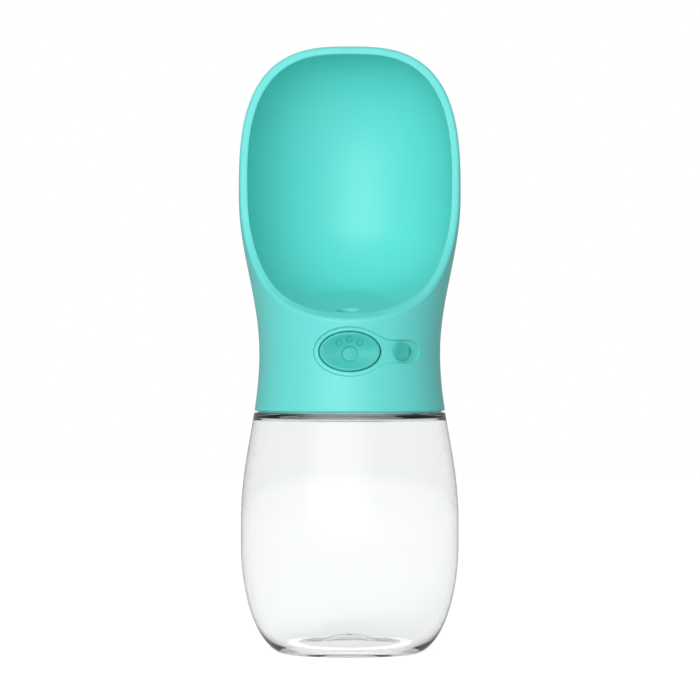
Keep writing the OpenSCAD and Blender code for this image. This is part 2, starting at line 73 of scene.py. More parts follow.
def ease(a, b, t):
    return (a + b) / 2 + (a - b) / 2 * np.cos(np.pi * t)


def body_r(z):
    """Radius of the outline at height z, as in the CAD source."""
    z = np.asarray(z, float)
    foot = FOOT_R + (BELLY_R - FOOT_R) * np.sqrt(np.clip(1 - ((CORNER_Z - z) / CORNER_Z) ** 2, 0, 1))
    low = ease(BELLY_R, WAIST_R, (z - BELLY_Z) / (WAIST_Z - BELLY_Z))
    high = ease(SCOOP_R, WAIST_R, (SCOOP_Z - z) / (SCOOP_Z - WAIST_Z))
    rise = np.clip(z - SCOOP_Z, 0, None) / (TOP_Z - SCOOP_Z)
    crown = SCOOP_R * np.clip(1 - rise ** POWER, 0, 1) ** (1 / POWER)
    return np.select([z < CORNER_Z, z < BELLY_Z, z < WAIST_Z, z < SCOOP_Z], [foot, BELLY_R, low, high], crown)


BULKHEAD_R = float(body_r(LEDGE_Z)) - WALL - 0.2

# The scoop's cut, seen from the side: an arc from the lip that runs on into a straight line to the top
lip = np.array([-WAIST_R - 0.7, BUTTON_Z + 10.9])
up = np.array([math.sin(RIM_LEAN), math.cos(RIM_LEAN)])
out = np.array([-math.cos(RIM_LEAN), math.sin(RIM_LEAN)])
rel = lip - np.array([0, TOP_Z])
lean_len = -rel @ up - math.sqrt(2 * (rel @ out) * RIM_R - (rel @ out) ** 2)
lean_end = np.array([0, TOP_Z]) - lean_len * up
cut_c = lean_end + RIM_R * out
a_lip = math.atan2(lip[1] - cut_c[1], lip[0] - cut_c[0])
ARC = RIM_R * (-RIM_LEAN - a_lip)
CUT = ARC + lean_len

lip_y = -(float(body_r(lip[1])) - RIM_WALL - 1.1)
lip_z = cut_c[1] - math.sqrt(RIM_R ** 2 - (lip_y - cut_c[0]) ** 2)
floor_z = lip_z - lip_y * math.tan(FLOOR_TILT)
outlet_y = lip_y + 0.6 + OUTLET_D / 2


def on_cut(x, s, depth=0.0):
    """Point on the cut at x and length s along it from the lip, set back by depth into the wall."""
    x, s = np.asarray(x, float), np.asarray(s, float)
    a = a_lip + s / RIM_R
    arc_y, arc_z = cut_c[0] + (RIM_R + depth) * np.cos(a), cut_c[1] + (RIM_R + depth) * np.sin(a)
    t = s - ARC
    line_y = lean_end[0] + t * up[0] - depth * out[0]
    line_z = lean_end[1] + t * up[1] - depth * out[1]
    y, z = np.where(s < ARC, arc_y, line_y), np.where(s < ARC, arc_z, line_z)
    return np.stack(np.broadcast_arrays(x, y, z), -1)


def revolve_field(p, t):
    """Below zero inside the outline moved in by t."""
    r, z = np.hypot(p[..., 0], p[..., 1]), p[..., 2]
    a, h = SCOOP_R - t, TOP_Z - SCOOP_Z - t
    crown = a * (((r / a) ** POWER + (np.clip(z - SCOOP_Z, 0, None) / h) ** POWER) ** (1 / POWER) - 1)
    return np.where(z < SCOOP_Z, r - body_r(np.minimum(z, SCOOP_Z)) + t, crown)


def smooth(t):
    t = np.clip(t, 0, 1)
    return t * t * (3 - 2 * t)


def cavity_field(p):
    """Below zero in the trough: the inner wall and the tilted floor, with a wide fillet that fades at the lip."""
    a = revolve_field(p, RIM_WALL)
    b = p[..., 1] * math.sin(FLOOR_TILT) - (p[..., 2] - floor_z) * math.cos(FLOOR_TILT)
    k = 1.2 + 17 * smooth((p[..., 1] + 28) / 34) + 3.0 * smooth(np.abs(p[..., 0]) / 22)
    round_ = np.hypot(np.maximum(k + a, 0), np.maximum(k + b, 0))
    return np.minimum(-k, np.maximum(a, b)) + round_


def root(f, lo, hi, n=48):
    """Bisection for a field that is below zero at lo and above zero at hi."""
    lo, hi = np.array(lo, float), np.array(hi, float)
    for _ in range(n):
        mid = (lo + hi) / 2
        low = f(mid) < 0
        lo, hi = np.where(low, mid, lo), np.where(low, hi, mid)
    return (lo + hi) / 2


# ---------------------------------------------------------------- mesh helpers

WELD, SLIVER = 2e-6, 1e-8       # metres: points closer than this become one, and shorter edges go


class Build:
    """Collects vertices (mm) and faces, welded when the object is made."""

    def __init__(self):
        self.v, self.f, self.n = [], [], 0

    def add(self, v, f):
        v = np.asarray(v, float).reshape(-1, 3)
        self.v.append(v)
        self.f += [tuple(int(i) + self.n for i in face) for face in f]
        self.n += len(v)

    def grid(self, v, close_u=False, close_v=False, flip=False, skip=None):
        """v has shape (rows, columns, 3)."""
        rows, cols = v.shape[:2]
        faces = []
        for i in range(rows if close_u else rows - 1):
            for j in range(cols if close_v else cols - 1):
                if skip and skip(i, j):
                    continue
                i2, j2 = (i + 1) % rows, (j + 1) % cols
                q = (i * cols + j, i * cols + j2, i2 * cols + j2, i2 * cols + j)
                faces.append(q[::-1] if flip else q)
        self.add(v.reshape(-1, 3), faces)

    def object(self, name, angle=35, check=True):
        mesh = bpy.data.meshes.new(name)
        mesh.from_pydata((np.concatenate(self.v) * MM).tolist(), [], self.f)
        bm = bmesh.new()
        bm.from_mesh(mesh)
        bmesh.ops.remove_doubles(bm, verts=bm.verts, dist=WELD)
        bmesh.ops.dissolve_degenerate(bm, edges=bm.edges, dist=SLIVER)
        bmesh.ops.recalc_face_normals(bm, faces=bm.faces)
        if check:
            bad = sum(not e.is_manifold for e in bm.edges)
            if bad:
                print(name, "open or doubled edges:", bad)
        bm.to_mesh(mesh)
        bm.free()
        obj = bpy.data.objects.new(name, mesh)
        bpy.context.scene.collection.objects.link(obj)
        shade(obj, angle)
        return obj


def shade(obj, angle=35):
    obj.data.shade_smooth()
    obj.data.set_sharp_from_angle(angle=math.radians(angle))


def rings(r, z, a):
    """Rows of points about Z: radius r and height z for each row, angle a for each column."""
    r = np.broadcast_to(r, (len(z), len(a)))
    return np.stack([r * np.cos(a), r * np.sin(a), np.broadcast_to(z[:, None], r.shape)], -1)


def lathe(build, profile, n=192, close=True, axis=None):
    """Revolves (r, z) points about Z. Points on the axis become one vertex when welded."""
    p = np.asarray(profile, float)
    a = np.arange(n) * 2 * np.pi / n
    v = rings(p[:, :1], p[:, 1], a)
    if axis is not None:
        v = v @ np.array(axis[0]).T + np.array(axis[1])
    build.grid(v, close_u=close, close_v=True)


def rod(build, r, z0, z1, n, x=0.0, y=0.0):
    """Solid cylinder along Z."""
    lathe(build, [(0, z0), (r, z0), (r, z1), (0, z1)], n=n, close=False, axis=(np.eye(3), (x, y, 0)))


def prism(build, ends):
    """Solid between two outlines with the same number of points."""
    n = ends.shape[1]
    build.grid(ends, close_v=True)
    build.add(ends[0], [tuple(range(n))])
    build.add(ends[1], [tuple(range(n))[::-1]])


def cut(obj, cutters):
    """Cuts the cutters out of obj, one after the other, and removes them."""
    for c in cutters:
        m = obj.modifiers.new("cut", "BOOLEAN")
        m.operation, m.object = "DIFFERENCE", c
        m.solver = "MANIFOLD"
        deps = bpy.context.evaluated_depsgraph_get()
        new = bpy.data.meshes.new_from_object(obj.evaluated_get(deps))
        obj.modifiers.remove(m)
        if len(new.polygons) < 10:
            print("boolean gave nothing for", obj.name, c.name)
            bpy.data.meshes.remove(new)
        else:
            old = obj.data
            obj.data = new
            new.name = obj.name
            bpy.data.meshes.remove(old)
        bpy.data.objects.remove(c)


def join(obj, other):
    """Adds another object's mesh to obj's as separate shells."""
    bm = bmesh.new()
    bm.from_mesh(obj.data)
    bm.from_mesh(other.data)
    bm.to_mesh(obj.data)
    bm.free()
    bpy.data.objects.remove(other)


def resample(p, n, closed=True):
    """Evenly spaced points along a polyline, by its length."""
    q = np.vstack([p, p[:1]]) if closed else p
    s = np.concatenate([[0], np.cumsum(np.linalg.norm(np.diff(q, axis=0), axis=1))])
    t = np.linspace(0, s[-1], n + 1)[:-1] if closed else np.linspace(0, s[-1], n)
    return np.stack([np.interp(t, s, q[:, i]) for i in range(q.shape[1])], -1)


def inset(p, d):
    """A closed outline moved in by d (counter-clockwise points)."""
    t = np.roll(p, -1, 0) - np.roll(p, 1, 0)
    t /= np.linalg.norm(t, axis=1)[:, None]
    return p + d * np.stack([-t[:, 1], t[:, 0]], -1)


def oval(a, b, n):
    u = np.linspace(0, 2 * np.pi, 2000, endpoint=False)
    return resample(np.stack([a * np.cos(u), b * np.sin(u)], -1), n)


def stadium(c, half, r, n):
    u = np.linspace(0, 2 * np.pi, 2000, endpoint=False)
    return resample(np.stack([c + np.sign(np.cos(u)) * half + r * np.cos(u), r * np.sin(u)], -1), n)


def patch(build, points, spots, loops):
    """Triangulates flat points, keeping the closed loops as edges. spots are the same points in space."""
    edges, start = [], 0
    for n in loops:
        edges += [(start + i, start + (i + 1) % n) for i in range(n)]
        start += n
    res = delaunay_2d_cdt([Vector(p) for p in points], edges, [], 0, 1e-7)
    if len(res[0]) != len(points):
        print("patch: loops cross, or points fall together", len(res[0]), len(points))
    verts = [spots[o[0]] if o else (0, 0, 0) for o in res[3]]
    build.add(verts, [tuple(f) for f in res[2]])


def fill(x0, x1, z0, z1, h, away, gap):
    """Staggered points in a rectangle that keep their distance from others."""
    pts = []
    for i, z in enumerate(np.arange(z0 + h * 0.8, z1 - h * 0.6, h * 0.866)):
        for x in np.arange(x0 + h * (0.8 if i % 2 else 1.3), x1 - h * 0.6, h):
            pts.append((x, z))
    pts = np.array(pts)
    keep = np.array([np.min(np.sum((away - p) ** 2, 1)) > gap * gap for p in pts])
    return pts[keep]


# ---------------------------------------------------------------- the head shell

R0 = WAIST_R
COLS, WINDOW = 288, 44          # columns round the head, and those on each side of the front in the window
SKIRT_ROWS, WIN_ROWS = 11, 23   # rows of faces below the window, and beside it
WIN_Z0, WIN_Z1 = 94.6, 113.45


def keyhole(n=280):
    """Outline of the recess as seen from the front, with wide fillets where the tail leaves the oval."""
    a, b, r, blend = 12.3, 8.4, 3.9, 3.2    # half axes of the oval, radius of the tail, width of the fillets
    start, end = 6, 23.6 - r

    def field(x, z):
        k1, k2 = np.hypot(x / a, z / b), np.hypot(x / a ** 2, z / b ** 2)
        f1 = k1 * (k1 - 1) / k2
        f2 = np.hypot(x - np.clip(x, start, end), z) - r
        h = np.clip(0.5 + 0.5 * (f2 - f1) / blend, 0, 1)
        return f2 * (1 - h) + f1 * h - blend * h * (1 - h)

    u = np.linspace(0, 2 * np.pi, 4000, endpoint=False)
    d = root(lambda q: field(q * np.cos(u), q * np.sin(u)), np.full_like(u, 2.0), np.full_like(u, 40.0))
    return resample(np.stack([d * np.cos(u), d * np.sin(u)], -1), n)


def front_spot(x, z, depth):
    """Point of the wall seen at x and z from the front, set back by depth."""
    r = body_r(z) - depth
    return np.stack([x, -np.sqrt(r * r - x * x), z], -1)


def head_front(build, rows):
    """The window in the wall round the button and lock, meshed along the recess's own outline."""
    flat, spots, loops = [], [], []

    def add_loop(x, z, depth):
        flat.append(np.stack([R0 * np.arcsin(x / body_r(z)), z], -1))
        spots.append(front_spot(x, z, depth))
        loops.append(len(x))

    # The window's edge, on the points of the grid round it
    s = R0 * np.radians(360 / COLS) * np.arange(-WINDOW, WINDOW + 1)
    edge = np.array([(q, WIN_Z0) for q in s] + [(s[-1], z) for z in rows[1:-1]]
                    + [(q, WIN_Z1) for q in s[::-1]] + [(s[0], z) for z in rows[1:-1][::-1]])
    add_loop(body_r(edge[:, 1]) * np.sin(edge[:, 0] / R0), edge[:, 1], 0.0)
    base = keyhole()
    # Each pair is a distance inside the outline and the share of the recess's depth there
    for d, t in ((-0.5, 0.0), (-0.3, 0.0), (-0.17, 0.025), (-0.07, 0.11), (0.0, 0.27), (0.07, 0.53), (0.14, 0.79),
                 (0.22, 0.93), (0.33, 0.985), (0.5, 1.0), (0.8, 1.0)):
        p = inset(base, d)
        add_loop(p[:, 0], p[:, 1] + BUTTON_Z, RECESS * t)
    hole = oval(*HOLE, 200)
    for d, t in ((-0.26, 0.0), (-0.12, 0.03), (-0.03, 0.12), (0.0, 0.26)):
        p = inset(hole, d)
        add_loop(p[:, 0], p[:, 1] + BUTTON_Z, RECESS + t)
    mid = R0 * (LOCK_ANGLE + LOCK_TRAVEL / 2)
    slot = stadium(mid, R0 * math.sin(LOCK_TRAVEL / 2), SLOT_R, 72)
    for d, t in ((-0.22, 0.0), (-0.1, 0.04), (0.0, 0.22)):
        p = inset(slot, d)
        add_loop(R0 * np.sin(p[:, 0] / R0), p[:, 1] + BUTTON_Z, RECESS + t)
    free = fill(s[0], s[-1], WIN_Z0, WIN_Z1, 0.85, np.concatenate(flat), 0.42)
    # Free points lie on the wall outside the recess and on its floor inside
    inner = inset(base, 0.8)
    inner = np.stack([R0 * np.arcsin(inner[:, 0] / body_r(inner[:, 1] + BUTTON_Z)), inner[:, 1] + BUTTON_Z], -1)
    step = np.roll(inner, -1, 0) - inner
    depth = []
    for p in free:
        cross = (inner[:, 1] > p[1]) != (inner[:, 1] + step[:, 1] > p[1])
        at = inner[:, 0] + (p[1] - inner[:, 1]) * step[:, 0] / np.where(cross, step[:, 1], 1)
        depth.append(RECESS if np.count_nonzero(cross & (at > p[0])) % 2 else 0.0)
    depth = np.array(depth)
    spots.append(front_spot(body_r(free[:, 1]) * np.sin(free[:, 0] / R0), free[:, 1], depth))
    patch(build, np.concatenate(flat + [free]), np.concatenate(spots), loops)


def rim_points(n=132, rho=1.15, rho_in=0.55):
    """Rows of points across the rim, for the half with x >= 0, from the lip up to the top."""
    s = CUT * (1 - np.cos(np.linspace(0, np.pi, 6001))) / 2
    p = on_cut(0, s)
    x = np.sqrt(np.clip(body_r(p[:, 2]) ** 2 - p[:, 1] ** 2, 0, None))
    x[0] = x[-1] = 0
    flat = np.stack([x, s], -1)
    length = np.concatenate([[0], np.cumsum(np.hypot(*np.diff(flat, axis=0).T))])
    t = np.linspace(0, length[-1], n + 1)
    c = np.stack([np.interp(t, length, flat[:, i]) for i in (0, 1)], -1)
    # Inward normals from the evenly spaced points, smoothed a little
    e = np.vstack([c[1:2] * [-1, 1], c, c[-2:-1] * [-1, 1]])
    tan = e[2:] - e[:-2]
    tan /= np.linalg.norm(tan, axis=1)[:, None]
    nrm = np.stack([-tan[:, 1], tan[:, 0]], -1)

    def at(h, depth):
        q = c + np.asarray(h)[:, None] * nrm
        return on_cut(q[:, 0], q[:, 1], depth)

    zero = np.zeros(n + 1)
    outer = root(lambda h: revolve_field(at(h, rho), 0), zero + 4, zero - 4)
    width = root(lambda h: -cavity_field(at(h, 0)), zero + 0.3, zero + 7.5)
    inner = root(lambda h: -cavity_field(at(width + h, rho_in)), zero - 1.0, zero + 5.0)
    rows = []
    a, corner, b = at(outer, rho), at(zero, 0), at(zero + rho, 0)
    for u in np.linspace(0, 1, 8):
        rows.append(a * (1 - u) ** 2 + corner * 2 * u * (1 - u) + b * u * u)
    h0, h1 = rho, width - rho_in
    for u in (0.33, 0.67):
        rows.append(at(h0 + (h1 - h0) * u, 0))
    a, corner, b = at(width - rho_in, 0), at(width, 0), at(width + inner, rho_in)
    for u in np.linspace(0, 1, 6):
        rows.append(a * (1 - u) ** 2 + corner * 2 * u * (1 - u) + b * u * u)
    rows = np.array(rows)
    rows[:, 0, 0] = rows[:, -1, 0] = 0
    return rows


def mirrored(rows):
    """Full loop from a half with x >= 0: columns run from the lip up on the right and down on the left."""
    left = rows[:, -2:0:-1] * np.array([-1, 1, 1])
    return np.concatenate([rows, left], 1)


def outer_table():
    """Outline of the head as (length, r, z) from the skirt's edge to the crown's middle."""
    steep = 0.787               # share of the crown's height that is stepped by z, the rest by r
    z = np.arange(SKIRT_Z, SCOOP_Z + steep * (TOP_Z - SCOOP_Z), 0.02)
    r = body_r(z)
    r2 = np.linspace(r[-1], 0, 1500)[1:]
    z2 = SCOOP_Z + (TOP_Z - SCOOP_Z) * (1 - (r2 / SCOOP_R) ** POWER) ** (1 / POWER)
    r, z = np.concatenate([r, r2]), np.concatenate([z, z2])
    s = np.concatenate([[0], np.cumsum(np.hypot(np.diff(r), np.diff(z)))])
    return s, r, z


def head_cutters():
    """Chamber under the trough, button hole, lock slot and outlet."""
    roof = 113.0                # the chamber follows the outline up to here, and the trough's floor above
    chamber = Build()
    z = np.linspace(SKIRT_Z - 2, roof, 40)
    lathe(chamber, [(0, z[0])] + list(zip(body_r(z) - WALL, z)) + [(0, z[-1])], n=144, close=False)

    under = Build()
    rad = np.linspace(0, 28.3, 30)
    az = np.arange(144) * 2 * np.pi / 144
    x, y = rad[:, None] * np.cos(az), rad[:, None] * np.sin(az)
    top = root(lambda h: WALL - cavity_field(np.stack([x, y, h], -1)),
               np.full_like(x, 100.0), np.full_like(x, 150.0))
    high = np.stack([x, y, np.clip(top, roof + 0.1, None)], -1)
    low = np.stack([x, y, np.full_like(x, roof - 0.5)], -1)
    under.grid(low, close_v=True, flip=True)
    under.grid(np.stack([low[-1], high[-1]]), close_v=True)
    under.grid(high, close_v=True)

    button_hole = Build()
    hole = oval(HOLE[0] - 0.01, HOLE[1] - 0.01, 200)
    prism(button_hole, np.stack([np.stack([hole[:, 0], np.full(200, depth), hole[:, 1] + BUTTON_Z], -1)
                                 for depth in (-45.0, -12.0)]))

    lock_slot = Build()
    mid = LOCK_ANGLE + LOCK_TRAVEL / 2
    slot = stadium(0, WAIST_R * math.sin(LOCK_TRAVEL / 2), SLOT_R - 0.01, 72)
    radial = np.array([math.sin(mid), -math.cos(mid), 0])
    side = np.array([math.cos(mid), math.sin(mid), 0])
    across = slot[:, :1] * side + slot[:, 1:] * np.array([0, 0, 1]) + np.array([0, 0, BUTTON_Z])
    prism(lock_slot, np.stack([radial * r + across for r in (24.0, 36.0)]))

    outlet = Build()
    ct, st = math.cos(FLOOR_TILT), math.sin(FLOOR_TILT)
    tilt = np.array([[1, 0, 0], [0, ct, -st], [0, st, ct]])
    r = OUTLET_D / 2
    lathe(outlet, [(0, -8), (r, -8), (r, -0.2), (r + 0.06, -0.06), (r + 0.2, 0.02), (r + 0.5, 0.2),
                   (r + 0.5, 6), (0, 6)],
          n=96, close=False, axis=(tilt, (0, outlet_y, floor_z + outlet_y * math.tan(FLOOR_TILT))))
    return [chamber.object("cut_chamber"), under.object("cut_under_floor"), button_hole.object("cut_button"),
            lock_slot.object("cut_slot"), outlet.object("cut_outlet")]


def make_head():
    b = Build()
    rim = rim_points()
    k_n = rim.shape[1] - 1
    edge = rim[0]
    s_t, r_t, z_t = outer_table()
    # Outer wall above the lip: each row runs from the rim's one side round the back to the other
    er, ez = np.hypot(edge[:, 0], edge[:, 1]), edge[:, 2]
    # Length along the outline, from z on the sides and from r on the crown, where r only falls
    top = z_t > 185
    sig = np.where(ez < 190, np.interp(ez, z_t, s_t), np.interp(-er, -r_t[top], s_t[top]))
    phi = np.arctan2(edge[:, 0], edge[:, 1])
    phi[0] = np.pi
    s = np.linspace(-1, 1, COLS + 1)
    back = sig[0] + (sig[-1] - sig[0]) * np.arange(k_n + 1) / k_n
    mix = s ** 2
    sig_g = sig[:, None] * mix + back[:, None] * (1 - mix)
    phi_g = phi[:, None] * s
    r, z = np.interp(sig_g, s_t, r_t), np.interp(sig_g, s_t, z_t)
    grid = np.stack([r * np.sin(phi_g), r * np.cos(phi_g), z], -1)
    grid[:, -1] = edge
    grid[:, 0] = edge * np.array([-1, 1, 1])
    grid[-1, :] = edge[-1]
    b.grid(grid)
    # Below the lip: full rings, with the skirt's edge rounded, and the window left open
    edge_r = 0.4
    z_lip = edge[0, 2]
    rows = np.concatenate([np.linspace(SKIRT_Z + edge_r, WIN_Z0, SKIRT_ROWS + 1),
                           np.linspace(WIN_Z0, WIN_Z1, WIN_ROWS + 1)[1:], [z_lip]])
    ring = np.pi * s

    def round_rows(r, z):
        return np.stack([r[:, None] * np.sin(ring), r[:, None] * np.cos(ring),
                         np.broadcast_to(z[:, None], (len(z), COLS + 1))], -1)

    low, win_top = round_rows(body_r(rows), rows), SKIRT_ROWS + WIN_ROWS
    low[-1] = grid[0]
    b.grid(low, skip=lambda i, j: SKIRT_ROWS <= i < win_top and (j < WINDOW or j >= COLS - WINDOW))
    head_front(b, rows[SKIRT_ROWS:win_top + 1])
    base_r = float(body_r(SKIRT_Z))
    t = np.linspace(0, np.pi / 2, 6)
    prof = np.stack([float(body_r(SKIRT_Z + edge_r)) - edge_r + edge_r * np.sin(t),
                     SKIRT_Z + edge_r - edge_r * np.cos(t)], -1)
    # The skirt's inner lip closes most of the seam, which reads as a dark line
    lip_low = SHOULDER_Z + 0.15
    prof = np.vstack([[0, lip_low], [base_r * 0.5, lip_low], [base_r - 1.3, lip_low], [base_r - 1.2, lip_low + 0.1],
                      [base_r - 1.2, SKIRT_Z - 0.1], [base_r - 1.1, SKIRT_Z], prof])
    b.grid(round_rows(prof[:, 0], prof[:, 1]))
    # Rim, then the trough in rings that close on a point of its back wall, each found along a ray from the seed
    loop = mirrored(rim)
    b.grid(loop, close_v=True)
    seed = np.array([0, -8.0, 150.0])
    d = loop[-1] - seed
    d /= np.linalg.norm(d, axis=1)[:, None]
    mid = np.array([0, 1, -0.08])
    mid /= np.linalg.norm(mid)
    ang = np.arccos(np.clip(d @ mid, -1, 1))
    trough = [loop[-1]]
    n = 60
    for i in range(1, n + 1):
        u = i / n
        w0, w1 = np.sin((1 - u) * ang) / np.sin(ang), np.sin(u * ang) / np.sin(ang)
        q = d * w0[:, None] + mid * w1[:, None]
        lam = root(lambda m: cavity_field(seed + q * m[:, None]), np.full(len(q), 2.0), np.full(len(q), 110.0))
        trough.append(seed + q * lam[:, None])
    b.grid(np.array(trough), close_v=True)
    head = b.object("head_shell_visual")
    cut(head, head_cutters())
    shade(head, 38)
    # Ledge over the bulkhead and the bosses of the valve's screws, hidden inside
    c = Build()
    r0, r1, z1 = BULKHEAD_R - 1.7, BULKHEAD_R + 1.6, LEDGE_Z + 1.5
    lathe(c, [(r0, LEDGE_Z), (r1, LEDGE_Z), (r1, z1), (r0, z1)], n=144)
    for sx in (-1, 1):
        lathe(c, [(1.2, 105.3), (3, 105.3), (3, 119.5), (1.2, 119.5)], n=48, axis=(np.eye(3), (sx * 10.5, -1.0, 0)))
    join(head, c.object("head_inside", check=False))
    return head


head = make_head()


# ---------------------------------------------------------------- button and lock knob

def make_button():
    """Oval cap, dished, with a plain paw pressed into it, on the CAD's flange and boss."""
    b = Build()
    flat, spots, loops = [], [], []
    n = 190
    base = oval(*CAP, n)

    edge_r, blend = 0.28, 0.14

    def face_y(x, z, d):
        """Front of the cap: rounded edge, narrow band, then a hollow that is concave in both directions."""
        band = FACE_R - FACE_FRONT - np.sqrt(FACE_R ** 2 - x * x)
        bowl = np.sqrt((DISH_R - DISH_UP_R + np.sqrt(DISH_UP_R ** 2 - z * z)) ** 2 - x * x)
        bowl = bowl - FACE_FRONT + DISH_DEPTH - DISH_R
        bowl = bowl + 0.45 * np.clip(1 - (x / 9.55) ** 2 - (z / 5.9) ** 2, 0, 1) ** 2
        h = np.clip(0.5 + 0.5 * (bowl - band) / blend, 0, 1)
        edge = edge_r * (1 - np.sqrt(np.clip(1 - (1 - np.clip(d, 0, edge_r) / edge_r) ** 2, 0, 1)))
        return band * (1 - h) + bowl * h + blend * h * (1 - h) + edge

    # Centre and half axes of the three toes and the pad
    pads = [(-3.55, 2.75, 1.0, 1.1), (0, 4.05, 1.0, 1.1), (3.55, 2.75, 1.0, 1.1), (0, -0.9, 2.7, 2.5)]

    def relief(x, z):
        y = np.zeros_like(x)
        for px, pz, ra, rb in pads:
            r = math.sqrt(ra * rb)
            q = (np.hypot((x - px) / ra, (z - pz) / rb) - 1) * r
            y = np.maximum(y, 0.5 * smooth((0.13 - q) / 0.3) - 0.26 * smooth((-0.2 - q) / (0.55 * r)))
        return y

    dense = oval(*CAP, 1500)

    def lift(p, d=None):
        if d is None:
            d = np.array([np.sqrt(np.min(np.sum((dense - q) ** 2, 1))) for q in p])
        y = face_y(p[:, 0], p[:, 1], d) + relief(p[:, 0], p[:, 1])
        return np.stack([p[:, 0], y, p[:, 1] + BUTTON_Z], -1)

    for d in (0.0, 0.03, 0.08, 0.16, 0.28, 0.42, 0.55, 0.65, 0.75, 0.85, 1.0):
        p = inset(base, d) if d else base
        flat.append(p)
        spots.append(lift(p, np.full(len(p), d)))
        loops.append(len(p))
    for px, pz, ra, rb in pads:
        for d in (0.15, 0.09, 0.03, -0.03, -0.09, -0.16, -0.26, -0.45, -0.7):
            p = oval(ra + d, rb + d, 44 if ra < 2 else 96) + np.array([px, pz])
            flat.append(p)
            spots.append(lift(p))
            loops.append(len(p))
    free = fill(-9.6, 9.6, -6, 6, 0.42, np.concatenate(flat), 0.2)
    free = free[np.hypot(free[:, 0] / 9.15, free[:, 1] / 5.5) < 1]
    spots.append(lift(free))
    patch(b, np.concatenate(flat + [free]), np.concatenate(spots), loops)
    # Sides back to the flange, and the flange and boss behind
    front = spots[0]
    rear = np.stack([base[:, 0], -np.sqrt(27.5 ** 2 - base[:, 0] ** 2), base[:, 1] + BUTTON_Z], -1)
    b.grid(np.stack([front, rear]), close_v=True)
    b.add(np.vstack([rear, [[0, -27.4, BUTTON_Z]]]), [(i, (i + 1) % n, n) for i in range(n)])
    cap = b.object("button_cap_visual", angle=40)
    c = Build()
    o = oval(*FLANGE, 160)
    o2 = inset(o, 0.15)

    def curved(p, r):
        return np.stack([p[:, 0], -np.sqrt(r * r - p[:, 0] ** 2), p[:, 1] + BUTTON_Z], -1)

    v = np.stack([curved(o2, 27.3), curved(o, 27.45), curved(o, 28.35), curved(o2, 28.5)])
    c.grid(v, close_v=True)
    for end, flip in ((v[0], 1), (v[-1], 0)):
        steps = ((1.0, 27.3), (0.75, 27.3), (0.5, 27.3), (0.25, 27.3), (0.0, 27.3)) if flip else (
            (1.0, 28.5), (0.86, 28.5), (0.8, 27.7), (0.4, 27.7), (0.0, 27.7))
        for (t0, r0), (t1, r1) in zip(steps, steps[1:]):
            c.grid(np.stack([curved(o2 * t0, r0), curved(o2 * t1, r1)]), close_v=True, flip=bool(flip))
    turn = np.array([[1, 0, 0], [0, 0, 1], [0, 1, 0]])
    lathe(c, [(1.3, -27.9), (3.2, -27.9), (3.2, -22.3), (2.9, -22.0), (1.3, -22.0)], n=64,
          axis=(turn, (0, 0, BUTTON_Z)))
    join(cap, c.object("button_back", check=False))
    return cap


def make_knob():
    b = Build()
    top, base_r, r = 32.0, 30.6, 3.05
    prof = [(0, 26.3), (1.0, 26.3), (1.15, 26.45), (1.15, base_r), (r - 0.15, base_r), (r, base_r + 0.15)]
    prof += [(r - 0.32 + 0.32 * math.cos(t), top - 0.37 + 0.32 * math.sin(t)) for t in np.linspace(0, np.pi / 2, 8)]
    prof += [(r - 0.42, top - 0.055)]
    prof += [(q, top - 0.09 - 0.16 * (1 - (q / 2.5) ** 2)) for q in np.linspace(2.5, 0, 12)]
    rad = np.array([math.sin(LOCK_ANGLE), -math.cos(LOCK_ANGLE), 0])
    side = np.array([math.cos(LOCK_ANGLE), math.sin(LOCK_ANGLE), 0])
    axes = np.stack([side, np.array([0, 0, 1]), rad], 1)
    lathe(b, prof, n=96, close=False, axis=(axes, (0, 0, BUTTON_Z)))
    return b.object("lock_knob_visual", angle=40)


button = make_button()
knob = make_knob()


# ---------------------------------------------------------------- bottle, collar, spring

def thread(phi, z, phase, base, crest, z0, z1, taper=1.2):
    """Height of a two-start ridge, 0 to 1, at angle phi and height z, fading at both ends."""
    pitch = LEAD / 2
    u = (z - LEAD * phi / (2 * np.pi) - phase) / pitch
    u = np.abs(u - np.round(u)) * pitch
    ridge = np.clip((base / 2 - u) / ((base - crest) / 2), 0, 1)
    return smooth(ridge) * smooth((z - z0) / taper) * smooth((z1 - z) / taper)


